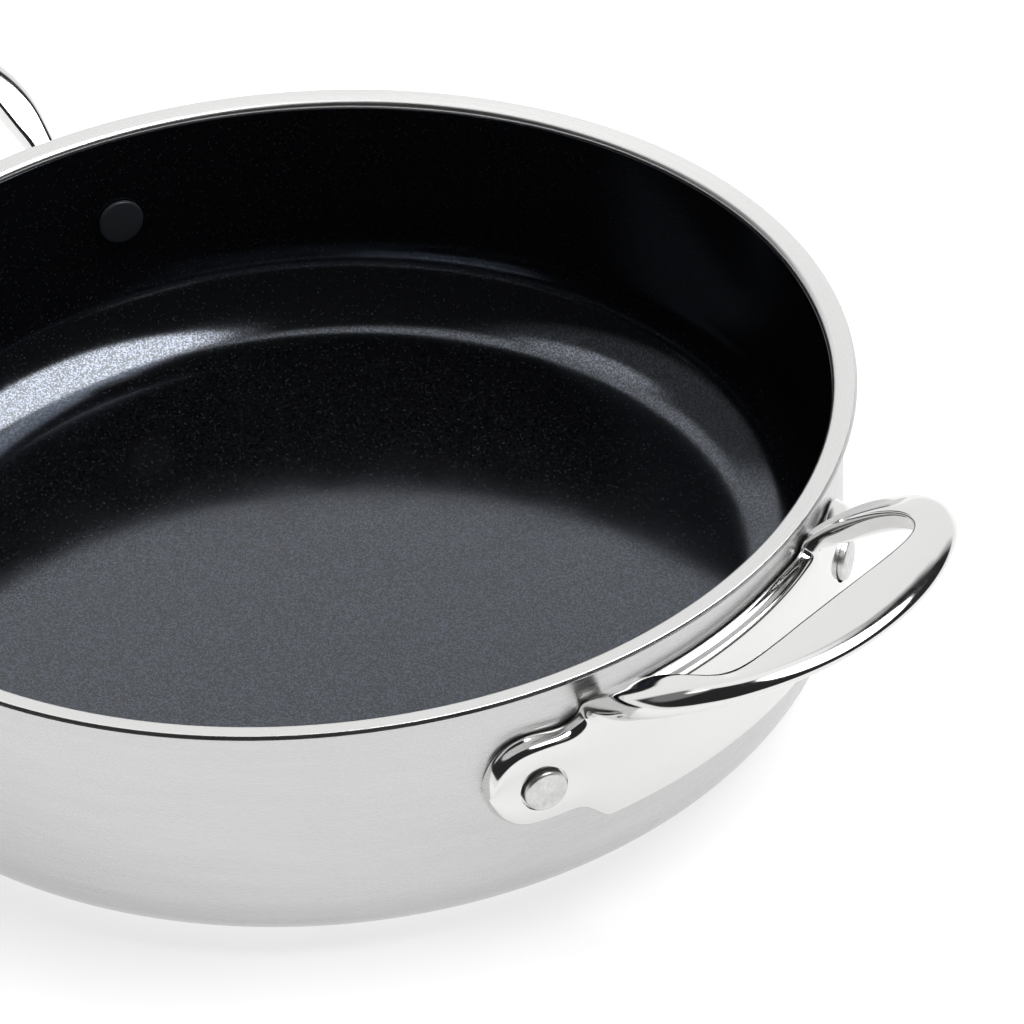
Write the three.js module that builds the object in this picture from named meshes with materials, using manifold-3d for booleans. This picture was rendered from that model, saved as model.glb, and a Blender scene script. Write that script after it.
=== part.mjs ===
// Two-handled shallow stainless casserole pan (rondeau) with a dark ceramic cooking surface.
// The vessel is a drawn, clad sheet: outer steel skin, aluminium core, inner steel skin and coating.
// Two cast loop handles sit on the wall, each held by two solid rivets through wall and saddle.
// Millimetres, +Z up, origin on the table under the middle of the base, handles along X.
import * as THREE from "three";
import { mergeVertices, toCreasedNormals } from "three/addons/utils/BufferGeometryUtils.js";
import Module from "manifold-3d";

// Vessel
const PAN_HEIGHT = 70.2; // table to the top of the lip
const WALL_OUTER_RADIUS = 136.1;
const CORNER_RADIUS = 17.5; // outside radius between base and wall
const OUTER_SKIN = 0.5;
const CORE = 1.6;
const INNER_SKIN = 0.5;
const COATING = 0.12;
const LIP_BEND_RADIUS = 1; // on the outside of the wall, under the lip
const LIP_ANGLE = THREE.MathUtils.degToRad(130); // how far the lip rolls over from the upright wall
const LIP_FLAT = 0.8; // straight stretch past the bend
const LIP_SEAL = 0.6; // outer skin folded over the end of the core
const EDGE_BREAK = 0.4; // rounded corners of the lip's edge

// Rivets
const RIVET_HEIGHT = 42.6; // rivet axis above the table
const RIVET_SPREAD = THREE.MathUtils.degToRad(23.4); // each side of the handle's middle
const SHANK_RADIUS = 4;
const HOLE_CLEARANCE = 0.3; // radial, shank to hole
const HEAD_RADIUS = 6.4; // flat head inside the pan
const HEAD_HEIGHT = 1.1;
const HEAD_EDGE = 0.3;
const TAIL_RADIUS = 4.8; // upset end outside
const TAIL_PROUD = 1.9; // past the face of the saddle
const TAIL_EDGE = 0.5;

// Handle saddle, measured along the wall from the handle's middle
const SADDLE_THICKNESS = 4.5;
const SEAT_GAP = 0.3; // left between touching faces
const SADDLE_HALF_LENGTH = 71; // arc length on the saddle's face
const LOBE_TOP = 55.3;
const LOBE_BOTTOM = 32;
const APRON_TOP = 57.5; // top of the tall middle part
const APRON_BOTTOM = 26;
const APRON_HALF_LENGTH = 44; // arc length to the middle of the steps down to the lobes
const STEP_LENGTH = 9; // arc length of each S-shaped step
const SADDLE_EDGE = 1.8; // rounding of the front edges
const COUNTERBORE_RADIUS = 6.1;
const COUNTERBORE_DEPTH = 1.2;

// Handle loop
const GRIP_REACH = 39.3; // pan wall to the middle of the grip bar
const GRIP_HEIGHT = 79.2; // middle of the bar above the table
const GRIP_HALF_WIDTH = 6.2;
const GRIP_HALF_THICKNESS = 3.3;
const LEG_HALF_WIDTH = 4;
const LEG_HALF_THICKNESS = 2.5;
const SECTION_SQUARENESS = 0.75; // 1 is an ellipse, less is boxier
const LEG_OFFSET = 40.5; // handle's middle to the root of a leg
const LOOP_HALF_WIDTH = 42; // handle's middle to the line of a leg at the loop's corner
const LOOP_CORNER = 10.5; // plan radius of the spine at the loop's corners
const LEG_LAZINESS = 1.25; // over 1 the leg rises later on its way out
const LEG_ROOT_DEPTH = 9; // how far a leg's root reaches down inside the saddle

// Facets
const TURN_SEGMENTS = 52;
const CORNER_STEPS = 4;
const BEND_STEPS = 4;
const RIVET_SEGMENTS = 16;
const SADDLE_STEPS = 30;
const LEG_STEPS = 4;
const LOOP_STEPS = 44;
const SECTION_POINTS = 10;

const wasm = await Module();
wasm.setup();

const WALL = OUTER_SKIN + CORE + INNER_SKIN;
const LIP_START = PAN_HEIGHT - LIP_BEND_RADIUS - WALL;
const SADDLE_BACK = WALL_OUTER_RADIUS + SEAT_GAP;
const SADDLE_FACE = SADDLE_BACK + SADDLE_THICKNESS;
const GRIP_RADIUS = WALL_OUTER_RADIUS + GRIP_REACH;

// Solid of a closed geometry, for cutting and joining.
function solidOf(geometry) {
  const bare = geometry.clone();
  for (const name of ["normal", "uv"]) bare.deleteAttribute(name);
  const merged = mergeVertices(bare, 1e-4);
  const index = merged.index.array;
  const kept = [];
  for (let i = 0; i < index.length; i += 3) {
    const [a, b, c] = [index[i], index[i + 1], index[i + 2]];
    if (a !== b && b !== c && c !== a) kept.push(a, b, c);
  }
  const vertProperties = new Float32Array(merged.attributes.position.array);
  const made = (triVerts) => new wasm.Manifold(new wasm.Mesh({ numProp: 3, vertProperties, triVerts }));
  const solid = made(new Uint32Array(kept));
  return solid.volume() < 0 ? made(new Uint32Array(kept.reverse())) : solid;
}

// Geometry of a solid, with creases kept sharp.
function geometryOf(solid) {
  const mesh = solid.getMesh();
  const geometry = new THREE.BufferGeometry();
  geometry.setAttribute("position", new THREE.BufferAttribute(mesh.vertProperties.slice(), 3));
  geometry.setIndex(new THREE.BufferAttribute(mesh.triVerts.slice(), 1));
  return toCreasedNormals(geometry, THREE.MathUtils.degToRad(35));
}

// Solid turned about Z from a closed profile of [radius, height] points.
function turned(profile, segments) {
  const points = profile.map(([r, z]) => new THREE.Vector2(Math.max(r, 0), z));
  const closed = points[0].x > 0 || points.at(-1).x > 0 ? [...points, points[0].clone()] : points;
  return solidOf(new THREE.LatheGeometry(closed, segments).rotateX(Math.PI / 2));
}

// Closed skin through rings of points, with flat ends.
function loft(rings) {
  const count = rings[0].length;
  const positions = rings.flat().flatMap((p) => [p.x, p.y, p.z]);
  const index = [];
  for (let i = 0; i + 1 < rings.length; i++)
    for (let j = 0; j < count; j++) {
      const a = i * count + j;
      const b = i * count + ((j + 1) % count);
      index.push(a, b, b + count, a, b + count, a + count);
    }
  const last = (rings.length - 1) * count;
  for (let j = 1; j + 1 < count; j++) {
    index.push(0, j + 1, j);
    index.push(last, last + j, last + j + 1);
  }
  const geometry = new THREE.BufferGeometry();
  geometry.setAttribute("position", new THREE.Float32BufferAttribute(positions, 3));
  geometry.setIndex(index);
  return solidOf(geometry);
}

// Points of an arc about a centre, from one angle to another.
function arc(cx, cy, radius, from, to, steps) {
  return Array.from({ length: steps + 1 }, (_, i) => {
    const angle = from + ((to - from) * i) / steps;
    return [cx + radius * Math.cos(angle), cy + radius * Math.sin(angle)];
  });
}

// Vessel: surfaces of the sheet at a depth below its outer face, from the axis to the lip.
function bodyPath(depth) {
  const centre = WALL_OUTER_RADIUS - CORNER_RADIUS;
  return [[0, depth], ...arc(centre, CORNER_RADIUS, CORNER_RADIUS - depth, -Math.PI / 2, 0, CORNER_STEPS)];
}

function lipPath(depth) {
  const centre = WALL_OUTER_RADIUS + LIP_BEND_RADIUS;
  return arc(centre, LIP_START, LIP_BEND_RADIUS + depth, Math.PI, Math.PI - LIP_ANGLE, BEND_STEPS);
}

// A point on the lip's straight end, at a depth below the outer face and a distance past the bend.
function lipEnd(depth, distance) {
  const [r, z] = lipPath(depth).at(-1);
  return [r + distance * Math.sin(LIP_ANGLE), z + distance * Math.cos(LIP_ANGLE)];
}

function sheetPath(depth) {
  return [...bodyPath(depth), ...lipPath(depth)];
}

function outerSkin() {
  const sealTop = OUTER_SKIN + CORE;
  return turned(
    [
      ...sheetPath(0),
      lipEnd(0, LIP_FLAT - EDGE_BREAK),
      lipEnd(EDGE_BREAK, LIP_FLAT),
      lipEnd(sealTop, LIP_FLAT),
      lipEnd(sealTop, LIP_FLAT - LIP_SEAL),
      lipEnd(OUTER_SKIN, LIP_FLAT - LIP_SEAL),
      ...sheetPath(OUTER_SKIN).reverse(),
    ],
    TURN_SEGMENTS,
  );
}

function core() {
  const top = OUTER_SKIN + CORE;
  return turned(
    [
      ...sheetPath(OUTER_SKIN),
      lipEnd(OUTER_SKIN, LIP_FLAT - LIP_SEAL),
      lipEnd(top, LIP_FLAT - LIP_SEAL),
      ...sheetPath(top).reverse(),
    ],
    TURN_SEGMENTS,
  );
}

function innerSkin() {
  const back = OUTER_SKIN + CORE;
  return turned(
    [
      ...sheetPath(back),
      lipEnd(back, LIP_FLAT),
      lipEnd(WALL - EDGE_BREAK, LIP_FLAT),
      lipEnd(WALL, LIP_FLAT - EDGE_BREAK),
      ...sheetPath(WALL).reverse(),
    ],
    TURN_SEGMENTS,
  );
}

function coating() {
  const edge = lipPath(WALL)[0];
  const edgeFace = [WALL_OUTER_RADIUS - WALL - COATING, LIP_START];
  return turned([...bodyPath(WALL), edge, edgeFace, ...bodyPath(WALL + COATING).reverse()], TURN_SEGMENTS);
}

// A cylinder along the radius at a rivet's angle, between two distances from the pan's axis.
function radialCylinder(angle, radius, from, to) {
  const geometry = new THREE.CylinderGeometry(radius, radius, to - from, RIVET_SEGMENTS)
    .rotateZ(-Math.PI / 2)
    .translate((from + to) / 2, 0, RIVET_HEIGHT)
    .rotateZ(angle);
  return solidOf(geometry);
}

const handleAngles = [0, Math.PI];
const rivetSides = [-1, 1];
const rivetAngles = handleAngles.flatMap((h) => rivetSides.map((s) => h + s * RIVET_SPREAD));

function drilled(solid) {
  const inside = WALL_OUTER_RADIUS - 3 * WALL;
  const outside = WALL_OUTER_RADIUS + WALL;
  return rivetAngles.reduce(
    (left, angle) => left.subtract(radialCylinder(angle, SHANK_RADIUS + HOLE_CLEARANCE, inside, outside)),
    solid,
  );
}

// Rivet: flat head inside, shank through the wall and saddle, upset tail in the counterbore.
function rivet() {
  const inside = WALL_OUTER_RADIUS - WALL - COATING;
  const headSeat = inside * Math.cos(HEAD_RADIUS / inside) - SEAT_GAP;
  const headFace = headSeat - HEAD_HEIGHT;
  const tailSeat = SADDLE_FACE - COUNTERBORE_DEPTH + SEAT_GAP;
  const tailFace = SADDLE_FACE + TAIL_PROUD;
  return turned(
    [
      [0, headFace],
      [HEAD_RADIUS - HEAD_EDGE, headFace],
      [HEAD_RADIUS, headFace + HEAD_EDGE],
      [HEAD_RADIUS, headSeat],
      [SHANK_RADIUS, headSeat],
      [SHANK_RADIUS, tailSeat],
      [TAIL_RADIUS, tailSeat],
      [TAIL_RADIUS, tailFace - TAIL_EDGE],
      [TAIL_RADIUS - TAIL_EDGE, tailFace],
      [0, tailFace],
    ],
    RIVET_SEGMENTS,
  );
}

// Handle saddle: a plate lofted along the wall, tall in the middle, with a round lobe at each end.
function smooth(t) {
  const c = THREE.MathUtils.clamp(t, 0, 1);
  return c * c * (3 - 2 * c);
}

function saddleEdges(s) {
  const reach = Math.abs(s);
  const lobe = smooth((reach - APRON_HALF_LENGTH + STEP_LENGTH / 2) / STEP_LENGTH);
  const middle = (LOBE_TOP + LOBE_BOTTOM) / 2;
  const radius = (LOBE_TOP - LOBE_BOTTOM) / 2;
  const fromEnd = Math.max(SADDLE_HALF_LENGTH - reach, 0);
  const round = Math.sqrt(Math.max(radius ** 2 - Math.max(radius - fromEnd, 0) ** 2, SADDLE_EDGE ** 2));
  return {
    top: THREE.MathUtils.lerp(APRON_TOP, middle + round, lobe),
    bottom: THREE.MathUtils.lerp(APRON_BOTTOM, middle - round, lobe),
  };
}

function saddle() {
  const rings = Array.from({ length: SADDLE_STEPS + 1 }, (_, i) => {
    const u = (2 * i) / SADDLE_STEPS - 1;
    const s = SADDLE_HALF_LENGTH * Math.sin((u * Math.PI) / 2);
    const angle = s / SADDLE_FACE;
    const { top, bottom } = saddleEdges(s);
    const edge = Math.min(SADDLE_EDGE, (top - bottom) / 4);
    const front = SADDLE_FACE - (Math.abs(u) === 1 ? SADDLE_EDGE : 0);
    const section = [
      [SADDLE_BACK, bottom],
      [front - edge, bottom],
      [front, bottom + edge],
      [front, top - edge],
      [front - edge, top],
      [SADDLE_BACK, top],
    ];
    return section.map(([r, z]) => new THREE.Vector3(r * Math.cos(angle), r * Math.sin(angle), z));
  });
  return loft(rings);
}

// Handle loop: one spine from root to root, with a section that changes from leg to grip.
// Each leg stands in the saddle, rises in a quarter sine to the bar's height and turns into the bar.
function loopSpine() {
  const rootX = Math.sqrt(((SADDLE_BACK + SADDLE_FACE) / 2) ** 2 - LEG_OFFSET ** 2);
  const barEnd = LOOP_HALF_WIDTH - LOOP_CORNER;
  const barX = (y) => Math.sqrt(GRIP_RADIUS ** 2 - y ** 2);
  const cornerX = barX(barEnd) - LOOP_CORNER;
  const leg = Array.from({ length: LEG_STEPS }, (_, i) => {
    const t = i / LEG_STEPS;
    return [
      THREE.MathUtils.lerp(rootX, cornerX, t),
      THREE.MathUtils.lerp(LEG_OFFSET, LOOP_HALF_WIDTH, t),
      THREE.MathUtils.lerp(APRON_TOP, GRIP_HEIGHT, Math.sin((t * Math.PI) / 2) ** LEG_LAZINESS),
    ];
  });
  const corner = arc(cornerX, barEnd, LOOP_CORNER, Math.PI / 2, 0, 2).map(([x, y]) => [x, y, GRIP_HEIGHT]);
  const bar = [barX(barEnd / 2), barEnd / 2, GRIP_HEIGHT];
  const half = [[rootX, LEG_OFFSET, APRON_TOP - LEG_ROOT_DEPTH], ...leg, ...corner, bar];
  const other = half.map(([x, y, z]) => [x, -y, z]).reverse();
  const points = [...half, ...other].map((p) => new THREE.Vector3(...p));
  return new THREE.CatmullRomCurve3(points, false, "centripetal");
}

function loop() {
  const spine = loopSpine();
  const up = new THREE.Vector3(0, 0, 1);
  const rings = Array.from({ length: LOOP_STEPS + 1 }, (_, i) => {
    const u = i / LOOP_STEPS;
    const centre = spine.getPointAt(u);
    const along = spine.getTangentAt(u);
    const across = new THREE.Vector3().crossVectors(up, along);
    if (across.length() < 0.2) across.set(0, i < LOOP_STEPS / 2 ? 1 : -1, 0);
    across.normalize();
    const over = new THREE.Vector3().crossVectors(along, across).normalize();
    const grip = smooth((Math.min(u, 1 - u) - 0.1) / 0.16);
    const root = smooth((Math.min(u, 1 - u) - 0.02) / 0.08);
    const width = THREE.MathUtils.lerp(LEG_HALF_WIDTH, GRIP_HALF_WIDTH, grip);
    const thickness = THREE.MathUtils.lerp(LEG_HALF_THICKNESS, GRIP_HALF_THICKNESS, grip);
    const depth = THREE.MathUtils.lerp(SADDLE_THICKNESS / 2 - SADDLE_EDGE / 3, thickness, root);
    return Array.from({ length: SECTION_POINTS }, (_, j) => {
      const angle = (2 * Math.PI * (j + 0.5)) / SECTION_POINTS;
      const square = (v) => Math.sign(v) * Math.abs(v) ** SECTION_SQUARENESS;
      return centre
        .clone()
        .addScaledVector(across, width * square(Math.cos(angle)))
        .addScaledVector(over, depth * square(Math.sin(angle)));
    });
  });
  return loft(rings);
}

function handle() {
  const whole = saddle().add(loop());
  return rivetSides.reduce((left, side) => {
    const angle = side * RIVET_SPREAD;
    const outside = SADDLE_FACE + TAIL_PROUD + WALL;
    const bore = radialCylinder(angle, SHANK_RADIUS + HOLE_CLEARANCE, SADDLE_BACK - WALL, outside);
    const recess = radialCylinder(angle, COUNTERBORE_RADIUS, SADDLE_FACE - COUNTERBORE_DEPTH, outside);
    return left.subtract(bore).subtract(recess);
  }, whole);
}

// Finishes
const brushedSteel = new THREE.MeshStandardMaterial({ color: 0xc9c9c9, roughness: 0.32, metalness: 1 });
const polishedSteel = new THREE.MeshStandardMaterial({ color: 0xdcdad8, roughness: 0.08, metalness: 1 });
const rivetSteel = new THREE.MeshStandardMaterial({ color: 0xb9b8b6, roughness: 0.38, metalness: 1 });
const aluminium = new THREE.MeshStandardMaterial({ color: 0xbfc2c4, roughness: 0.5, metalness: 1 });
const ceramic = new THREE.MeshStandardMaterial({ color: 0x1b1c20, roughness: 0.35, metalness: 0 });

function piece(name, solid, material) {
  const mesh = new THREE.Mesh(geometryOf(solid), material.clone());
  mesh.name = name;
  return mesh;
}

const pan = new THREE.Group();
pan.add(
  piece("outer_steel_skin", drilled(outerSkin()), brushedSteel),
  piece("aluminium_core", drilled(core()), aluminium),
  piece("inner_steel_skin", drilled(innerSkin()), polishedSteel),
  piece("ceramic_coating", drilled(coating()), ceramic),
);

const handleSolid = handle();
const rivetSolid = rivet();
["right", "left"].forEach((side, i) => {
  const mount = new THREE.Group();
  mount.rotation.z = handleAngles[i];
  mount.add(piece(`${side}_handle`, handleSolid, polishedSteel));
  rivetSides.forEach((s, k) => {
    const fastener = piece(`${side}_rivet_${k + 1}`, rivetSolid, rivetSteel);
    const seat = new THREE.Group();
    seat.rotation.z = s * RIVET_SPREAD;
    fastener.rotation.y = Math.PI / 2;
    fastener.position.z = RIVET_HEIGHT;
    seat.add(fastener);
    mount.add(seat);
  });
  pan.add(mount);
});

export default pan;
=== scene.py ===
import math

import bmesh
import bpy
from mathutils import Matrix, Vector


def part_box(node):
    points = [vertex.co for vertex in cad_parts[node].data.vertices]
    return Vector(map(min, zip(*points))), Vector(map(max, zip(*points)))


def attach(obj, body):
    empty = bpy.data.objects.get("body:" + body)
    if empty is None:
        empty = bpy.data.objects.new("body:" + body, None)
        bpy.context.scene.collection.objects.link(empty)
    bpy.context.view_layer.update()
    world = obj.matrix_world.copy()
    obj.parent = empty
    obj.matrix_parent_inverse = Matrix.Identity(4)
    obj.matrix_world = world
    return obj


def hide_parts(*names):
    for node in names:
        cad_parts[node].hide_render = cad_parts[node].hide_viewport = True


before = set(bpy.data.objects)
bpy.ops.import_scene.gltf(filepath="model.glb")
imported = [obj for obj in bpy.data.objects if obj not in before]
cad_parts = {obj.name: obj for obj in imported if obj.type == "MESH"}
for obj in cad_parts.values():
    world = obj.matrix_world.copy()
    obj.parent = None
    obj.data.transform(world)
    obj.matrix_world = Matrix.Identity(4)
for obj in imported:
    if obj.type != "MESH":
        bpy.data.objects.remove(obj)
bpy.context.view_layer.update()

# Outer skin: the outside of the pan's clad sheet, stainless steel drawn into a shallow cup and
# brushed round and round. Its edge is flared into a lip and closed over the core. The sheet is
# thicker in the corner, so the pan is rounder inside than outside.
WALL_RADIUS = 0.1361
CORNER_RADIUS = 0.0175
INSIDE_CORNER = 0.027
OUTER_SKIN = 0.0005
CORE = 0.0016
INNER_SKIN = 0.0005
CORE_TOP = OUTER_SKIN + CORE
SHEET = CORE_TOP + INNER_SKIN
LIP_SLOPE = math.radians(12)
LIP_CUT = math.radians(40)
LIP_REACH = 0.139
LIP_EDGE = 0.0013
LIP_RAISE = 0.0006
LIP_HEIGHT = 0.0035
LIP_UNDER_BEND = 0.001
LIP_TOP_BEND = 0.0019
LIP_SEAL = 0.0004
LIP_CORNER = 0.0003
LIP_CORNER_DEPTH = 0.00045
RIM_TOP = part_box("inner_steel_skin")[1].z + LIP_RAISE
LIP_START = RIM_TOP - LIP_HEIGHT
FLAT_STEPS = 6
CORNER_STEPS = 20
BEND_STEPS = 12
EDGE_STEPS = 5
ROUND_STEPS = 192
SHARP_CORNER = math.radians(35)
SATIN_STEEL = (0.6, 0.599, 0.599, 1)
SATIN_LINES = {"lines": 5200.0, "breaks": 9.0}
SATIN_BANDS = {"lines": 260.0, "breaks": 3.0}
SATIN_ROUGHNESS = (0.24, 0.32)
SATIN_DEPTH = 0.0000006
LINE_RANGE = (0.25, 0.75)
NOISE_RANGE = (0.3, 0.7)


def mix(a, b, share):
    return a + (b - a) * share


def arc(centre, radius, start, end, steps):
    """Points of an arc, as (distance from the axis, height) pairs."""
    turns = [mix(start, end, i / steps) for i in range(steps + 1)]
    return [(centre[0] + radius * math.cos(t), centre[1] + radius * math.sin(t)) for t in turns]


def body_path(depth):
    """The sheet's surface at a depth below its outer face, from the axis up to the lip."""
    corner = CORNER_RADIUS if depth <= OUTER_SKIN else INSIDE_CORNER
    centre = (WALL_RADIUS - corner, corner)
    shares = [i / FLAT_STEPS for i in range(FLAT_STEPS)]
    floor = [(centre[0] * share, depth) for share in shares]
    wall = [(WALL_RADIUS - depth, mix(corner, LIP_START, share)) for share in shares[1:]]
    return floor + arc(centre, corner - depth, -math.pi / 2, 0, CORNER_STEPS) + wall


def lip_end(depth, back=0.0):
    """A point of the lip's cut edge, or a distance back from it along the flare."""
    drop = LIP_EDGE * (1 - depth / SHEET)
    r, z = LIP_REACH + drop * math.sin(LIP_CUT), RIM_TOP - drop * math.cos(LIP_CUT)
    return (r - back * math.cos(LIP_SLOPE), z - back * math.sin(LIP_SLOPE))


def sheet_path(depth, back=0.0):
    """The whole surface at a depth: up the body, round a tight bend and out along the flare."""
    bend = mix(LIP_UNDER_BEND, LIP_TOP_BEND, depth / SHEET)
    end = lip_end(depth, back)
    middle = WALL_RADIUS - depth + bend
    height = end[1] - (end[0] - middle) * math.tan(LIP_SLOPE) - bend / math.cos(LIP_SLOPE)
    flare = arc((middle, height), bend, math.pi, math.pi / 2 + LIP_SLOPE, BEND_STEPS)
    return body_path(depth) + flare + [end]


def lip_corner(depth, inward):
    """The rounded corner of the lip's cut edge at one face of the sheet."""
    turns = [math.pi / 2 * i / EDGE_STEPS for i in range(EDGE_STEPS + 1)]
    return [
        lip_end(depth + inward * (1 - math.cos(t)), LIP_CORNER * (1 - math.sin(t))) for t in turns
    ]


def mesh_of(name, shape):
    """A finished shape as a mesh, with all its faces looking outwards."""
    bmesh.ops.recalc_face_normals(shape, faces=shape.faces)
    mesh = bpy.data.meshes.new(name)
    shape.to_mesh(mesh)
    shape.free()
    return mesh


def put_in_scene(name, mesh, sharp=SHARP_CORNER):
    """A smooth-shaded object in the scene, with its real corners kept sharp."""
    mesh.polygons.foreach_set("use_smooth", [True] * len(mesh.polygons))
    mesh.set_sharp_from_angle(angle=sharp)
    piece = bpy.data.objects.new(name, mesh)
    bpy.context.scene.collection.objects.link(piece)
    return piece


def turned(name, profile, steps=ROUND_STEPS):
    """A solid spun about the upright axis from a profile of (distance, height) pairs."""
    shape = bmesh.new()
    turns = [2 * math.pi * i / steps for i in range(steps)]
    rings = []
    for r, z in profile:
        if r < 1e-6:
            rings.append([shape.verts.new((0, 0, z))])
        else:
            rings.append([shape.verts.new((r * math.cos(t), r * math.sin(t), z)) for t in turns])
    closing = [] if len(rings[0]) == 1 else [(rings[-1], rings[0])]
    for low, high in list(zip(rings, rings[1:])) + closing:
        for i in range(steps):
            j = (i + 1) % steps
            corners = (
                low[i % len(low)], low[j % len(low)], high[j % len(high)], high[i % len(high)]
            )
            shape.faces.new(list(dict.fromkeys(corners)))
    return put_in_scene(name, mesh_of(name, shape))


def new_node(tree, kind, **settings):
    """A shader node with its settings; a value for an input is given under the input's name."""
    made = tree.nodes.new(kind)
    for key, value in settings.items():
        if key in made.inputs:
            made.inputs[key].default_value = value
        else:
            setattr(made, key, value)
    return made


def finish_of(name, **settings):
    """A new material, its nodes, and its Principled shader with some inputs set."""
    material = bpy.data.materials.new(name)
    material.use_nodes = True
    shader = material.node_tree.nodes["Principled BSDF"]
    for slot, value in settings.items():
        shader.inputs[slot].default_value = value
    return material, material.node_tree, shader


def make_turning_marks():
    """Fine lines that run round the pan's axis, as a value that changes across them."""
    group = bpy.data.node_groups.new("turning_marks", "ShaderNodeTree")
    for slot in ("Lines per metre", "Breaks per turn"):
        group.interface.new_socket(slot, in_out="INPUT", socket_type="NodeSocketFloat")
    group.interface.new_socket("Mark", in_out="OUTPUT", socket_type="NodeSocketFloat")
    inside = new_node(group, "NodeGroupInput")
    outside = new_node(group, "NodeGroupOutput")
    place = new_node(group, "ShaderNodeTexCoord")
    split = new_node(group, "ShaderNodeSeparateXYZ")
    level = new_node(group, "ShaderNodeCombineXYZ")
    reach = new_node(group, "ShaderNodeVectorMath", operation="LENGTH")
    heading = new_node(group, "ShaderNodeVectorMath", operation="NORMALIZE")
    round_way = new_node(group, "ShaderNodeVectorMath", operation="SCALE")
    across = new_node(group, "ShaderNodeMath", operation="ADD")
    lines = new_node(group, "ShaderNodeMath", operation="MULTIPLY")
    stacked = new_node(group, "ShaderNodeCombineXYZ")
    spot = new_node(group, "ShaderNodeVectorMath", operation="ADD")
    noise = new_node(group, "ShaderNodeTexNoise", Scale=1.0, Detail=4.0, Roughness=0.65)
    link = group.links.new
    link(place.outputs["Object"], split.inputs[0])
    link(split.outputs["X"], level.inputs["X"])
    link(split.outputs["Y"], level.inputs["Y"])
    link(level.outputs[0], reach.inputs[0])
    link(level.outputs[0], heading.inputs[0])
    link(heading.outputs[0], round_way.inputs[0])
    link(inside.outputs["Breaks per turn"], round_way.inputs["Scale"])
    link(reach.outputs["Value"], across.inputs[0])
    link(split.outputs["Z"], across.inputs[1])
    link(across.outputs[0], lines.inputs[0])
    link(inside.outputs["Lines per metre"], lines.inputs[1])
    link(lines.outputs[0], stacked.inputs["Z"])
    link(round_way.outputs[0], spot.inputs[0])
    link(stacked.outputs[0], spot.inputs[1])
    link(spot.outputs[0], noise.inputs["Vector"])
    link(noise.outputs["Fac"], outside.inputs["Mark"])
    return group


turning_marks = make_turning_marks()


def lined(tree, lines, breaks):
    """Turning marks placed in a material, with their own fineness."""
    marks = new_node(tree, "ShaderNodeGroup", node_tree=turning_marks)
    marks.inputs["Lines per metre"].default_value = lines
    marks.inputs["Breaks per turn"].default_value = breaks
    return marks.outputs["Mark"]


def spread(tree, value, to, over=(0, 1)):
    """A value stretched from one range to another, and held at the ends."""
    ranged = new_node(tree, "ShaderNodeMapRange")
    for slot, number in zip(("From Min", "From Max", "To Min", "To Max"), (*over, *to)):
        ranged.inputs[slot].default_value = number
    tree.links.new(value, ranged.inputs["Value"])
    return ranged.outputs["Result"]


def shade(colour, strength):
    """A colour made darker or lighter."""
    return tuple(min(c * strength, 1.0) for c in colour[:3]) + (1,)


def tinted(tree, value, dark, light):
    """A colour that goes from dark to light with a value."""
    blend = new_node(tree, "ShaderNodeMix", data_type="RGBA")
    ends = [slot for slot in blend.inputs if slot.type == "RGBA"]
    ends[0].default_value = dark
    ends[1].default_value = light
    tree.links.new(value, blend.inputs["Factor"])
    return [slot for slot in blend.outputs if slot.type == "RGBA"][0]


def surfaced(tree, shader, colour, roughness):
    """Gives a shader its colour and its roughness."""
    tree.links.new(colour, shader.inputs["Base Color"])
    tree.links.new(roughness, shader.inputs["Roughness"])


def dented(tree, value, depth, shader):
    """A bump of a given depth in metres on a shader's normal."""
    bump = new_node(tree, "ShaderNodeBump", Strength=1.0, Distance=depth)
    tree.links.new(value, bump.inputs["Height"])
    tree.links.new(bump.outputs["Normal"], shader.inputs["Normal"])


def brushed_round(tree, shader):
    """Turns the shader's long highlight across lines that run round the pan's axis."""
    tangent = new_node(tree, "ShaderNodeTangent", direction_type="RADIAL", axis="Z")
    tree.links.new(tangent.outputs[0], shader.inputs["Tangent"])


def make_satin_steel():
    material, tree, shader = finish_of("satin_steel", Metallic=1.0, Anisotropic=0.55)
    marks = lined(tree, **SATIN_LINES)
    bands = spread(tree, lined(tree, **SATIN_BANDS), (0, 1), NOISE_RANGE)
    colour = tinted(tree, bands, shade(SATIN_STEEL, 0.98), shade(SATIN_STEEL, 1.02))
    surfaced(tree, shader, colour, spread(tree, marks, SATIN_ROUGHNESS, LINE_RANGE))
    dented(tree, marks, SATIN_DEPTH, shader)
    brushed_round(tree, shader)
    return material


outer_profile = (
    sheet_path(0, LIP_CORNER)[:-1] + lip_corner(0, LIP_CORNER_DEPTH)
    + [lip_end(CORE_TOP), lip_end(CORE_TOP, LIP_SEAL)] + sheet_path(OUTER_SKIN, LIP_SEAL)[::-1]
)
outer_skin = turned("satin_outer_skin", outer_profile)
outer_skin.data.materials.append(make_satin_steel())
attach(outer_skin, "root")
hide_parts("outer_steel_skin")

# Core: the aluminium middle of the sheet, rolled hot between the two steel skins so that all
# three bond. It spreads the heat, and the edge of the outer skin closes it in at the lip.
CORE_GREY = (0.7, 0.71, 0.72, 1)
CORE_GRAIN = {"lines": 900.0, "breaks": 2.0}
CORE_ROUGHNESS = (0.4, 0.6)


def make_core_aluminium():
    material, tree, shader = finish_of("rolled_aluminium", Metallic=1.0)
    grain = lined(tree, **CORE_GRAIN)
    colour = tinted(tree, grain, shade(CORE_GREY, 0.85), CORE_GREY)
    surfaced(tree, shader, colour, spread(tree, grain, CORE_ROUGHNESS))
    return material


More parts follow.
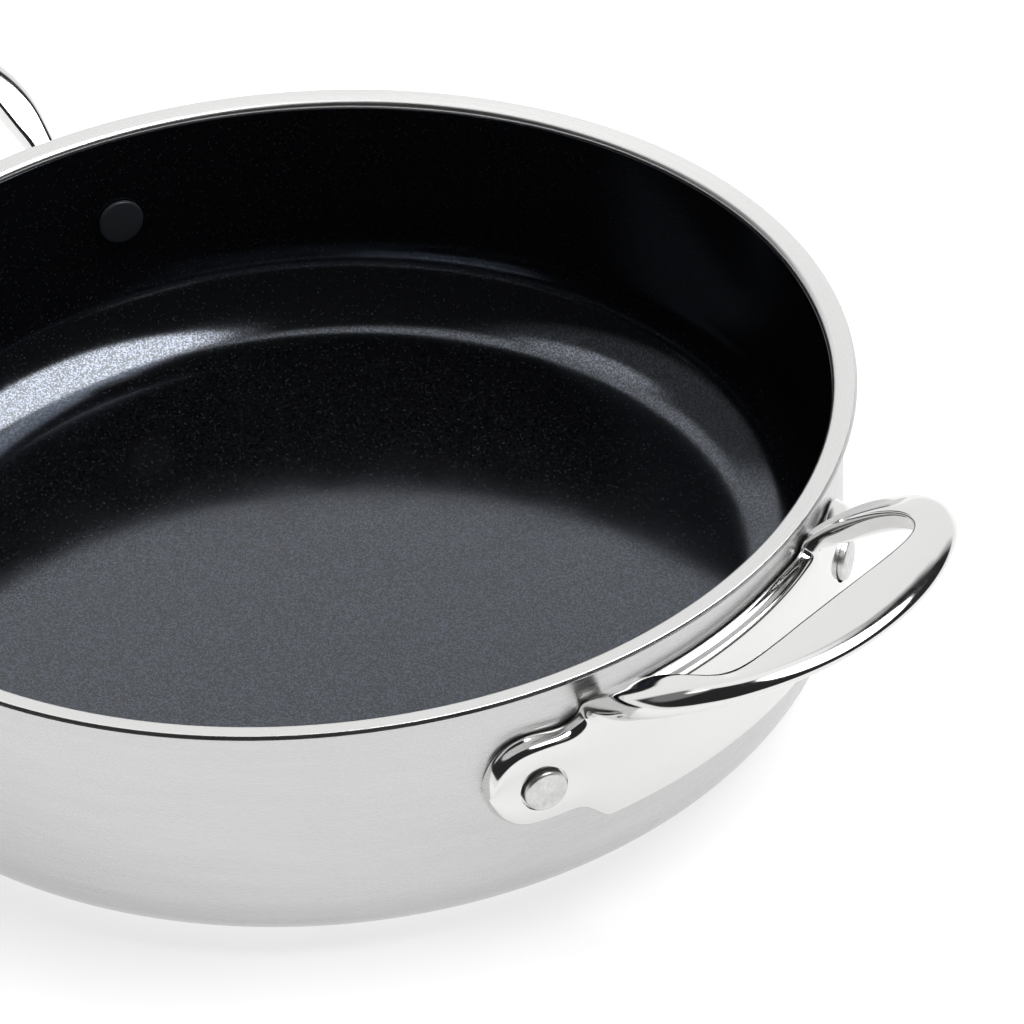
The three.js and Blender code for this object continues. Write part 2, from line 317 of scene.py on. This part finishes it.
core_profile = sheet_path(OUTER_SKIN, LIP_SEAL) + sheet_path(CORE_TOP, LIP_SEAL)[::-1]
core = turned("rolled_core", core_profile)
core.data.materials.append(make_core_aluminium())
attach(core, "root")
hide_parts("aluminium_core")

# Inner skin: the inside of the sheet, in stainless steel. It shows only above the coating, where
# the lip is flared outwards and polished bright, with faint lines left by the polishing wheel.
LIP_STEEL = (0.76, 0.757, 0.752, 1)
LIP_LINES = {"lines": 3000.0, "breaks": 5.0}
LIP_ROUGHNESS = (0.24, 0.32)
LIP_DEPTH = 0.000001


def make_polished_lip():
    material, tree, shader = finish_of("polished_lip_steel", Metallic=1.0, Anisotropic=0.5)
    marks = lined(tree, **LIP_LINES)
    colour = tinted(tree, marks, shade(LIP_STEEL, 0.95), LIP_STEEL)
    surfaced(tree, shader, colour, spread(tree, marks, LIP_ROUGHNESS, LINE_RANGE))
    dented(tree, marks, LIP_DEPTH, shader)
    brushed_round(tree, shader)
    return material


inner_profile = (
    sheet_path(CORE_TOP) + lip_corner(SHEET, -LIP_CORNER_DEPTH)[::-1]
    + sheet_path(SHEET, LIP_CORNER)[:-1][::-1]
)
inner_skin = turned("polished_inner_skin", inner_profile)
inner_skin.data.materials.append(make_polished_lip())
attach(inner_skin, "root")
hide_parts("inner_steel_skin")

# Coating: a dark ceramic film sprayed on the inside up to the start of the lip and baked hard.
# It is nearly black, half glossy, and full of fine metallic flakes that sparkle blue-grey.
COATING = 0.00012
COATING_RISE = 0.0007
LINED_RADIUS = WALL_RADIUS - SHEET
FILM_RADIUS = LINED_RADIUS - COATING
FILM_DARK = (0.0045, 0.0046, 0.0052, 1)
FILM_FLAKE = (0.12, 0.13, 0.157, 1)
FILM_SHINE = (0.86, 0.93, 1.0, 1)
FILM_ROUGHNESS = (0.1, 0.14)
FILM_DEPTH = 0.0000008
FLAKES_PER_METRE = 3200.0
FLAKE_LIMIT = (0.58, 0.62)


def noise_on(tree, scale, detail, roughness=0.5):
    """A cloudy value that is fixed to the piece."""
    place = new_node(tree, "ShaderNodeTexCoord")
    cloud = new_node(tree, "ShaderNodeTexNoise", Scale=scale, Detail=detail, Roughness=roughness)
    tree.links.new(place.outputs["Object"], cloud.inputs["Vector"])
    return cloud.outputs["Fac"]


def make_dark_ceramic():
    material, tree, shader = finish_of("dark_ceramic", IOR=1.69)
    shader.inputs["Specular Tint"].default_value = FILM_SHINE
    place = new_node(tree, "ShaderNodeTexCoord")
    cells = new_node(tree, "ShaderNodeTexVoronoi", feature="F1", Scale=FLAKES_PER_METRE)
    draw = new_node(tree, "ShaderNodeSeparateColor")
    tree.links.new(place.outputs["Object"], cells.inputs["Vector"])
    tree.links.new(cells.outputs["Color"], draw.inputs[0])
    flake = spread(tree, draw.outputs[0], (0, 1), FLAKE_LIMIT)
    gloss = spread(tree, noise_on(tree, 60.0, 3.0), FILM_ROUGHNESS, NOISE_RANGE)
    surfaced(tree, shader, tinted(tree, flake, FILM_DARK, FILM_FLAKE), gloss)
    tree.links.new(flake, shader.inputs["Metallic"])
    dented(tree, draw.outputs[1], FILM_DEPTH, shader)
    return material


coat_profile = (
    body_path(SHEET) + [(LINED_RADIUS, LIP_START), (LINED_RADIUS, LIP_START + COATING_RISE)]
    + [(FILM_RADIUS, LIP_START + COATING_RISE - COATING), (FILM_RADIUS, LIP_START)]
    + body_path(SHEET + COATING)[::-1]
)
coating = turned("dark_coating", coat_profile)
coating.data.materials.append(make_dark_ceramic())
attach(coating, "root")
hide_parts("ceramic_coating")

# Handles: two stainless castings, ground and polished like a mirror. A saddle plate hugs the
# wall, with a round lobe for a rivet at each end, and a loop rises from its top edge to clear
# the lip.
SEAT_GAP = 0.0003
SADDLE_BACK = WALL_RADIUS + SEAT_GAP
SADDLE_THICKNESS = 0.0045
SADDLE_FACE = SADDLE_BACK + SADDLE_THICKNESS
SADDLE_HALF_LENGTH = 0.0716
SADDLE_EDGE = 0.0015
SADDLE_SHOULDER = 0.0027
LOBE_TOP = 0.0555
LOBE_BOTTOM = 0.0318
LOBE_RADIUS = (LOBE_TOP - LOBE_BOTTOM) / 2
LOBE_MIDDLE = (LOBE_TOP + LOBE_BOTTOM) / 2
LOBE_TIP = 0.0016
LOBE_TIP_FLAT = 0.4
LOBE_STATIONS = (-0.5, 0, 0.42, 0.74, 0.93, 1)
APRON_TOP = 0.0575
APRON_BOTTOM = 0.0258
APRON_HALF_LENGTH = 0.044
STEP_LENGTH = 0.009
TOP_STEP = 0.0472
TOP_STEP_LENGTH = 0.0045
LEG_INNER = 0.0375
LEG_MIDDLE = 0.0415
LEG_OUTER = 0.0455
LEG_STATIONS = (LEG_INNER, LEG_MIDDLE, LEG_OUTER)
SADDLE_STATIONS = (0.0125, 0.026, *LEG_STATIONS, 0.0492)
LEG_RISE = 0.0034
LEG_LEAN = 0.0008
LEG_TAPER = 0.88
LEG_ROOT_ALONG = (0.033, 0.052)
LEG_ROOT_UP = (0.05, 0.066)
LEG_ROOT_SOFTNESS = 0.25
LOOP_CENTRE = 0.1305
LEG_ROOT_INNER = 0.06
LEG_ROOT_OUTER = 0.0628
GRIP_INNER = 0.1697
GRIP_OUTER = 0.1867
GRIP_TOP_INNER = 0.0832
GRIP_TOP_OUTER = 0.088
LOOP_INNER_WIDTH = 0.0395
LOOP_OUTER_WIDTH = 0.0619
INNER_SQUARENESS = 8.0
OUTER_SQUARENESS = 2.12
INNER_PINCH = 0.024
OUTER_PINCH = 0.333
LEG_THICKNESS = 0.0068
GRIP_THICKNESS = 0.0056
LEG_TURN = 68
GRIP_TURN = 34
LOOP_TURNS = (80, 72, 64, 57, 51.5, 47, 43, 38, 30, 20, 10)
LOOP_SMALL_TURN = math.radians(1.5)
LOOP_SECTION = (
    (0, 0), (0.42, 0.05), (0.8, 0), (1, -0.34), (0.98, -0.76), (0.55, -1), (0.1, -0.88),
    (-0.02, -0.42),
)
LOOP_CREASE = 0.15
ROUNDING_LEVELS = 3
FITTING_ROUNDS = 4
CAST_SHARP_CORNER = math.radians(40)
RIVET_HEIGHT = 0.0426
RIVET_SPREAD = math.radians(23.4)
RIVET_STEPS = 64
RIVET_HOLE = 0.0061
RIVET_HOLE_DEPTH = 0.0028
SHANK_HOLE = 0.0043
DRILL_PAST_BACK = 0.002
DRILL_PAST_FACE = 0.004
CAST_STEEL = (0.77, 0.767, 0.76, 1)
CAST_ROUGHNESS = (0.06, 0.1)
CAST_WAVE_DEPTH = 0.00006


def ease(share):
    share = min(max(share, 0.0), 1.0)
    return share * share * (3 - 2 * share)


def saddle_ring(s):
    """The saddle's section at a distance along the wall from the handle's middle."""
    flat = LOBE_RADIUS - SADDLE_EDGE
    past = max(abs(s) - SADDLE_HALF_LENGTH + LOBE_RADIUS, 0)
    half = math.sqrt(max(LOBE_RADIUS ** 2 - past ** 2, LOBE_TIP ** 2))
    flat_half = math.sqrt(max(flat ** 2 - past ** 2, (LOBE_TIP_FLAT * half) ** 2))
    over_edge = min(max(past - flat, 0) / SADDLE_EDGE, 1)
    face = SADDLE_FACE - SADDLE_SHOULDER * (1 - math.sqrt(1 - over_edge ** 2))
    top_step = ease((abs(s) - TOP_STEP + TOP_STEP_LENGTH / 2) / TOP_STEP_LENGTH)
    low_step = ease((abs(s) - APRON_HALF_LENGTH + STEP_LENGTH / 2) / STEP_LENGTH)
    top = mix(APRON_TOP, LOBE_MIDDLE + half, top_step)
    flat_top = mix(APRON_TOP - SADDLE_EDGE, LOBE_MIDDLE + flat_half, top_step)
    bottom = mix(APRON_BOTTOM, LOBE_MIDDLE - half, low_step)
    flat_bottom = mix(APRON_BOTTOM + SADDLE_EDGE, LOBE_MIDDLE - flat_half, low_step)
    shoulder = SADDLE_FACE - SADDLE_SHOULDER
    section = [
        (SADDLE_BACK, bottom), (shoulder, bottom), (face, flat_bottom),
        (face, mix(flat_bottom, flat_top, 0.35)), (face, mix(flat_bottom, flat_top, 0.7)),
        (face, flat_top), (shoulder, top), (SADDLE_BACK, top),
        (SADDLE_BACK, mix(bottom, top, 0.65)), (SADDLE_BACK, mix(bottom, top, 0.35)),
    ]
    turn = s / SADDLE_FACE
    return [Vector((r * math.cos(turn), r * math.sin(turn), z)) for r, z in section]


def rail(turn, reach, width, squareness, pinch, root, top):
    """A point on one edge of the loop: from above, a squared ellipse about the loop's centre."""
    c, s = math.cos(turn), math.sin(turn)
    away = (abs(c / reach) ** squareness + abs(s / width) ** squareness) ** (-1 / squareness)
    out = away * c / reach
    height = mix(root, top, math.sin(math.pi / 2 * out))
    return Vector((LOOP_CENTRE + away * c, away * s * (1 - pinch * (1 - out) ** 2), height))


def inner_rail(turn):
    return rail(
        turn, GRIP_INNER - LOOP_CENTRE, LOOP_INNER_WIDTH, INNER_SQUARENESS, INNER_PINCH,
        LEG_ROOT_INNER, GRIP_TOP_INNER,
    )


def outer_rail(turn):
    return rail(
        turn, GRIP_OUTER - LOOP_CENTRE, LOOP_OUTER_WIDTH, OUTER_SQUARENESS, OUTER_PINCH,
        LEG_ROOT_OUTER, GRIP_TOP_OUTER,
    )


def loop_ring(turn):
    """The loop's section at an angle about its centre: eight corners, inner top edge first."""
    start, end = inner_rail(turn), outer_rail(turn)
    next_turn, last_turn = turn + LOOP_SMALL_TURN, turn - LOOP_SMALL_TURN
    along = (
        (inner_rail(next_turn) + outer_rail(next_turn))
        - (inner_rail(last_turn) + outer_rail(last_turn))
    ).normalized()
    across = (end - start) - along * (end - start).dot(along)
    over = across.cross(along).normalized()
    grip = ease((math.degrees(abs(turn)) - LEG_TURN) / (GRIP_TURN - LEG_TURN))
    thick = mix(LEG_THICKNESS, GRIP_THICKNESS, grip)
    return [start.lerp(end, w) + over * (thick * h) for w, h in LOOP_SECTION]


def handle_cage():
    """The whole casting as one cage of four-sided faces, mirrored about the handle's middle."""
    lobe_centre = SADDLE_HALF_LENGTH - LOBE_RADIUS
    half = [*SADDLE_STATIONS] + [lobe_centre + LOBE_RADIUS * share for share in LOBE_STATIONS]
    stations = [-s for s in half[::-1]] + [0.0] + half
    shape = bmesh.new()
    saddle = [[shape.verts.new(p) for p in saddle_ring(s)] for s in stations]
    legs = {stations.index(side * s) for side in (-1, 1) for s in LEG_STATIONS}
    count = len(saddle[0])
    for i in range(len(saddle) - 1):
        for j in range(count):
            if j in (5, 6) and i in legs and i + 1 in legs:
                continue
            k = (j + 1) % count
            shape.faces.new((saddle[i][j], saddle[i][k], saddle[i + 1][k], saddle[i + 1][j]))
    for ring in (saddle[0], saddle[-1]):
        for face in ((0, 1, 2, 9), (2, 3, 8, 9), (3, 4, 8), (4, 5, 7, 8), (5, 6, 7)):
            shape.faces.new([ring[n] for n in face])

    def root(side):
        a, m, b = (saddle[stations.index(side * s)] for s in LEG_STATIONS)
        return [a[7], m[7], b[7], b[6], b[5], m[5], a[5], a[6]]

    def risen(ring):
        middle = sum((v.co for v in ring), Vector()) / len(ring)
        rise = Vector((LEG_LEAN, 0, LEG_RISE))
        return [shape.verts.new(middle + (v.co - middle) * LEG_TAPER + rise) for v in ring]

    turns = [-d for d in LOOP_TURNS] + [0, *LOOP_TURNS[::-1]]
    bar = [[shape.verts.new(p) for p in loop_ring(math.radians(t))] for t in turns]
    ends = root(-1), root(1)
    sections = [ends[0], risen(ends[0])] + bar + [risen(ends[1]), ends[1]]
    crease = shape.edges.layers.float.new("crease_edge")
    sides = len(LOOP_SECTION)
    for low, high in zip(sections, sections[1:]):
        for j in range(sides):
            k = (j + 1) % sides
            shape.faces.new((low[j], low[k], high[k], high[j]))
        shape.edges.get((low[0], high[0]))[crease] = LOOP_CREASE
    return mesh_of("handle_cage", shape)


def on_radius(turn, reach=0.0):
    """Lays an upright shape along the radius at a rivet, at a distance from the pan's axis."""
    return (
        Matrix.Rotation(turn, 4, "Z") @ Matrix.Translation((reach, 0, RIVET_HEIGHT))
        @ Matrix.Rotation(math.pi / 2, 4, "Y")
    )


def drill(turn, radius, start, end):
    """A plain cylinder along the radius at a rivet, for cutting."""
    shape = bmesh.new()
    bmesh.ops.create_cone(
        shape, cap_ends=True, segments=RIVET_STEPS, radius1=radius, radius2=radius,
        depth=end - start, matrix=on_radius(turn, (start + end) / 2),
    )
    cutter = bpy.data.objects.new("cutter", mesh_of("cutter", shape))
    bpy.context.scene.collection.objects.link(cutter)
    return cutter


def near_leg_root(point):
    """True where a leg leaves the saddle, which stays softer than the rest."""
    along = LEG_ROOT_ALONG[0] < abs(point.y) < LEG_ROOT_ALONG[1]
    return along and LEG_ROOT_UP[0] < point.z < LEG_ROOT_UP[1]


def cast_handle(name):
    """The cage rounded off so that it passes through its corners, then drilled for its rivets."""
    blank = bpy.data.objects.new(name, handle_cage())
    bpy.context.scene.collection.objects.link(blank)
    rounding = blank.modifiers.new("rounding", "SUBSURF")
    rounding.levels = rounding.render_levels = ROUNDING_LEVELS
    cage = blank.data.vertices
    wanted = [v.co.copy() for v in cage]
    for _ in range(FITTING_ROUNDS):
        bpy.context.view_layer.update()
        rounded = blank.evaluated_get(bpy.context.evaluated_depsgraph_get()).data
        reached = [v.co.copy() for v in rounded.vertices]
        for corner, goal, now in zip(cage, wanted, reached):
            corner.co += (goal - now) * (LEG_ROOT_SOFTNESS if near_leg_root(goal) else 1.0)
    bores = (
        (RIVET_HOLE, SADDLE_FACE - RIVET_HOLE_DEPTH), (SHANK_HOLE, SADDLE_BACK - DRILL_PAST_BACK),
    )
    cutters = []
    for turn in (-RIVET_SPREAD, RIVET_SPREAD):
        for radius, start in bores:
            cutters.append(drill(turn, radius, start, SADDLE_FACE + DRILL_PAST_FACE))
            hole = blank.modifiers.new("rivet_hole", "BOOLEAN")
            hole.operation = "DIFFERENCE"
            hole.solver = "EXACT"
            hole.object = cutters[-1]
    bpy.context.view_layer.update()
    drilled = blank.evaluated_get(bpy.context.evaluated_depsgraph_get())
    finished = bpy.data.meshes.new_from_object(drilled)
    finished.name = name
    for spare in [blank] + cutters:
        bpy.data.objects.remove(spare)
    return put_in_scene(name, finished, CAST_SHARP_CORNER)


def make_cast_steel():
    material, tree, shader = finish_of("polished_cast_steel", Metallic=1.0)
    haze = noise_on(tree, 420.0, 3.0)
    colour = tinted(tree, haze, shade(CAST_STEEL, 0.97), CAST_STEEL)
    surfaced(tree, shader, colour, spread(tree, haze, CAST_ROUGHNESS, NOISE_RANGE))
    dented(tree, noise_on(tree, 90.0, 1.0), CAST_WAVE_DEPTH, shader)
    return material


cast_steel = make_cast_steel()
for side, half_turns in (("right", 0), ("left", 1)):
    handle = cast_handle(side + "_cast_handle")
    handle.data.transform(Matrix.Rotation(math.pi * half_turns, 4, "Z"))
    handle.data.materials.clear()
    handle.data.materials.append(cast_steel)
    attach(handle, "root")
    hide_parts(side + "_handle")

# Rivets: solid stainless, driven from inside the pan. A flat head dark with film lies on the wall,
# the shank goes through wall and saddle, and the end is upset into a low button in the saddle's
# counterbore. The head's film is painted lighter than the film on the wall, as a painted sheen for
# the light that its flat face catches.
SHANK_RADIUS = 0.004
HEAD_RADIUS = 0.0064
HEAD_HEIGHT = 0.0011
HEAD_EDGE = 0.0004
HEAD_FLAT = HEAD_RADIUS * 0.5
HEAD_SEAT = FILM_RADIUS * math.cos(HEAD_RADIUS / WALL_RADIUS) - SEAT_GAP
HEAD_FACE = HEAD_SEAT - HEAD_HEIGHT
HEAD_EDGE_STEPS = 5
BUTTON_RADIUS = 0.0054
BUTTON_PROUD = 0.0017
BUTTON_EDGE = 0.0008
BUTTON_FLAT = BUTTON_RADIUS * 0.5
BUTTON_SEAT = SADDLE_FACE - RIVET_HOLE_DEPTH + SEAT_GAP
BUTTON_FACE = SADDLE_FACE + BUTTON_PROUD
BUTTON_CROWN = (0.00008, 0.0001)
BUTTON_EDGE_STEPS = 6
RIVET_STEEL = (0.66, 0.656, 0.65, 1)
RIVET_ROUGHNESS = (0.28, 0.42)
RIVET_DEPTH = 0.00003
# Painted sheen: the head's film colour is lighter than the wall's film, standing in for the light
# its flat face catches.
HEAD_FILM_AND_SHEEN = (0.042, 0.046, 0.054, 1)
HEAD_ROUGHNESS = (0.3, 0.45)
FILM_LIMIT = 0.00001


def make_rivet_steel():
    material, tree, shader = finish_of("satin_rivet_steel", Metallic=1.0)
    blotch = noise_on(tree, 500.0, 5.0, 0.6)
    stain = spread(tree, blotch, (0, 1), NOISE_RANGE)
    colour = tinted(tree, stain, shade(RIVET_STEEL, 0.8), shade(RIVET_STEEL, 1.15))
    surfaced(tree, shader, colour, spread(tree, blotch, RIVET_ROUGHNESS, NOISE_RANGE))
    dented(tree, blotch, RIVET_DEPTH, shader)
    return material


# The coated head's colour carries a painted sheen, lighter than the film on the wall.
def make_head_film_and_sheen():
    material, tree, shader = finish_of("coated_rivet_head_and_painted_sheen")
    cloud = noise_on(tree, 900.0, 4.0)
    colour = tinted(tree, cloud, shade(HEAD_FILM_AND_SHEEN, 0.8), HEAD_FILM_AND_SHEEN)
    surfaced(tree, shader, colour, spread(tree, cloud, HEAD_ROUGHNESS))
    return material


rivet_steel = make_rivet_steel()
coated_head_and_sheen = make_head_film_and_sheen()
head_rim = (HEAD_RADIUS - HEAD_EDGE, HEAD_FACE + HEAD_EDGE)
button_rim = (BUTTON_RADIUS - BUTTON_EDGE, BUTTON_FACE - BUTTON_EDGE)
rivet_profile = (
    [(0, HEAD_FACE), (HEAD_FLAT, HEAD_FACE)]
    + arc(head_rim, HEAD_EDGE, -math.pi / 2, 0, HEAD_EDGE_STEPS)
    + [(HEAD_RADIUS, HEAD_SEAT), (SHANK_RADIUS, HEAD_SEAT)]
    + [(SHANK_RADIUS, BUTTON_SEAT), (BUTTON_RADIUS, BUTTON_SEAT)]
    + arc(button_rim, BUTTON_EDGE, 0, math.pi / 2, BUTTON_EDGE_STEPS)
    + [(BUTTON_FLAT, BUTTON_FACE + BUTTON_CROWN[0]), (0, BUTTON_FACE + BUTTON_CROWN[1])]
)
for side, half_turns in (("right", 0), ("left", 1)):
    for number, hand in ((1, -1), (2, 1)):
        rivet = turned(f"{side}_driven_rivet_{number}", rivet_profile, RIVET_STEPS)
        rivet.data.materials.append(rivet_steel)
        rivet.data.materials.append(coated_head_and_sheen)
        for face in rivet.data.polygons:
            face.material_index = 1 if face.center.z < HEAD_SEAT - FILM_LIMIT else 0
        rivet.data.transform(on_radius(math.pi * half_turns + hand * RIVET_SPREAD))
        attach(rivet, "root")
        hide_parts(f"{side}_rivet_{number}")

# Camera: a long lens a little over a metre from the pan, looking down on it past the front of the
# right handle. It is swung, nodded and tipped a little, so that the pan runs out of the picture.
SIGHT_HEIGHT = 0.0666
CAMERA_DISTANCE = 1.2015
CAMERA_AZIMUTH = math.radians(-43.4)
CAMERA_ELEVATION = math.radians(35.3)
CAMERA_YAW = -0.0418
CAMERA_PITCH = -0.0281
CAMERA_ROLL = 0.0884
LENS = 167.35
SENSOR_WIDTH = 36.0
NEAREST = 0.05
FARTHEST = 50.0


def direction(azimuth, elevation):
    """A direction of length 1 from the pan."""
    level = math.cos(elevation)
    return Vector((level * math.cos(azimuth), level * math.sin(azimuth), math.sin(elevation)))


away = direction(CAMERA_AZIMUTH, CAMERA_ELEVATION)
ahead = -away
right = ahead.cross(Vector((0, 0, 1))).normalized()
upward = right.cross(ahead)
swing = Matrix.Rotation(CAMERA_YAW, 3, upward)
ahead, right = swing @ ahead, swing @ right
nod = Matrix.Rotation(CAMERA_PITCH, 3, right)
ahead, upward = nod @ ahead, nod @ upward
lean = Matrix.Rotation(CAMERA_ROLL, 3, ahead)
right, upward = lean @ right, lean @ upward
lens = bpy.data.cameras.new("camera")
lens.lens = LENS
lens.sensor_width = SENSOR_WIDTH
lens.clip_start = NEAREST
lens.clip_end = FARTHEST
camera = bpy.data.objects.new("camera", lens)
aim = Matrix((right, upward, -ahead)).transposed().to_4x4()
stand = away * CAMERA_DISTANCE + Vector((0, 0, SIGHT_HEIGHT))
camera.matrix_world = Matrix.Translation(stand) @ aim
bpy.context.scene.collection.objects.link(camera)
bpy.context.scene.camera = camera

# Studio: a white table inside a low white surround, with a lit backdrop behind the pan and a dark
# room above. Softboxes hang in it, so that polished steel shows clean black and white bands, and
# a lamp over the pan lays its shadow on the table.
FLOOR_SIZE = 6.0
FLOOR_WHITE = (0.36, 0.36, 0.36, 1)
FLOOR_ROUGHNESS = 0.7
FLOOR_SHINE = 0.1
FLOOR_LIFT = 0.72
FLOOR_GLOW = 0.7
ROOM_DARK = 0.025
SURROUND_TOP = (0.13, 0.17)
BACKDROP_LIGHT = 1.0
BACKDROP_SIDES = (0.55, 0.68)
BACKDROP_TOP = (0.62, 0.72)
# Azimuth and elevation in degrees, the cosines where a softbox starts and is full, its strength.
SOFTBOXES = (
    (55, 62, 0.925, 0.95, 7.0), (150, 60, 0.9, 0.94, 1.1), (-157, 58, 0.98, 0.993, 1.6),
    (-155, 44, 0.86, 0.93, 0.22),
)
TOP_LAMP = 4.0
TOP_LAMP_SIZE = 0.7
TOP_LAMP_HEIGHT = 1.6
WHITE = (1, 1, 1, 1)


def joined(tree, operation, first, second):
    """Two values worked into one."""
    worked = new_node(tree, "ShaderNodeMath", operation=operation)
    tree.links.new(first, worked.inputs[0])
    tree.links.new(second, worked.inputs[1])
    return worked.outputs[0]


def make_table_white():
    material, tree, shader = finish_of("white_table", Roughness=FLOOR_ROUGHNESS)
    shader.inputs["Base Color"].default_value = FLOOR_WHITE
    shader.inputs["Specular IOR Level"].default_value = FLOOR_SHINE
    shader.inputs["Emission Color"].default_value = WHITE
    path = new_node(tree, "ShaderNodeLightPath").outputs
    shine = joined(tree, "MAXIMUM", path["Is Glossy Ray"], path["Is Transmission Ray"])
    lift = spread(tree, path["Is Camera Ray"], (0, FLOOR_LIFT))
    glow = joined(tree, "ADD", lift, spread(tree, shine, (0, FLOOR_GLOW)))
    tree.links.new(glow, shader.inputs["Emission Strength"])
    return material


bpy.ops.mesh.primitive_plane_add(size=FLOOR_SIZE)
table = bpy.context.object
table.name = "table"
table.data.materials.append(make_table_white())

bulb = bpy.data.lights.new("top_lamp", "AREA")
bulb.energy = TOP_LAMP
bulb.size = TOP_LAMP_SIZE
top_lamp = bpy.data.objects.new("top_lamp", bulb)
top_lamp.location = (0, 0, TOP_LAMP_HEIGHT)
top_lamp.visible_glossy = False
bpy.context.scene.collection.objects.link(top_lamp)

world = bpy.data.worlds.new("studio")
bpy.context.scene.world = world
world.use_nodes = True
room = world.node_tree
room_way = new_node(room, "ShaderNodeTexCoord").outputs["Generated"]


def towards(azimuth, elevation, sides):
    """1 where the room lies round a direction, falling to 0 between two cosines."""
    facing = new_node(room, "ShaderNodeVectorMath", operation="DOT_PRODUCT")
    facing.inputs[1].default_value = direction(azimuth, elevation)
    room.links.new(room_way, facing.inputs[0])
    return spread(room, facing.outputs["Value"], (0, 1), sides)


room_split = new_node(room, "ShaderNodeSeparateXYZ")
room.links.new(room_way, room_split.inputs[0])
room_height = room_split.outputs["Z"]
behind = towards(CAMERA_AZIMUTH + math.pi, 0, BACKDROP_SIDES)
backdrop = joined(room, "MULTIPLY", behind, spread(room, room_height, (1, 0), BACKDROP_TOP))
lit = spread(room, backdrop, (ROOM_DARK, BACKDROP_LIGHT))
for azimuth, elevation, start, full, strength in SOFTBOXES:
    box = towards(math.radians(azimuth), math.radians(elevation), (start, full))
    lit = joined(room, "MAXIMUM", lit, spread(room, box, (0, strength)))
lit = joined(room, "MAXIMUM", lit, spread(room, room_height, (1, 0), SURROUND_TOP))
background = room.nodes["Background"]
background.inputs["Color"].default_value = WHITE
room.links.new(lit, background.inputs["Strength"])

bpy.context.scene.view_settings.view_transform = "Standard"
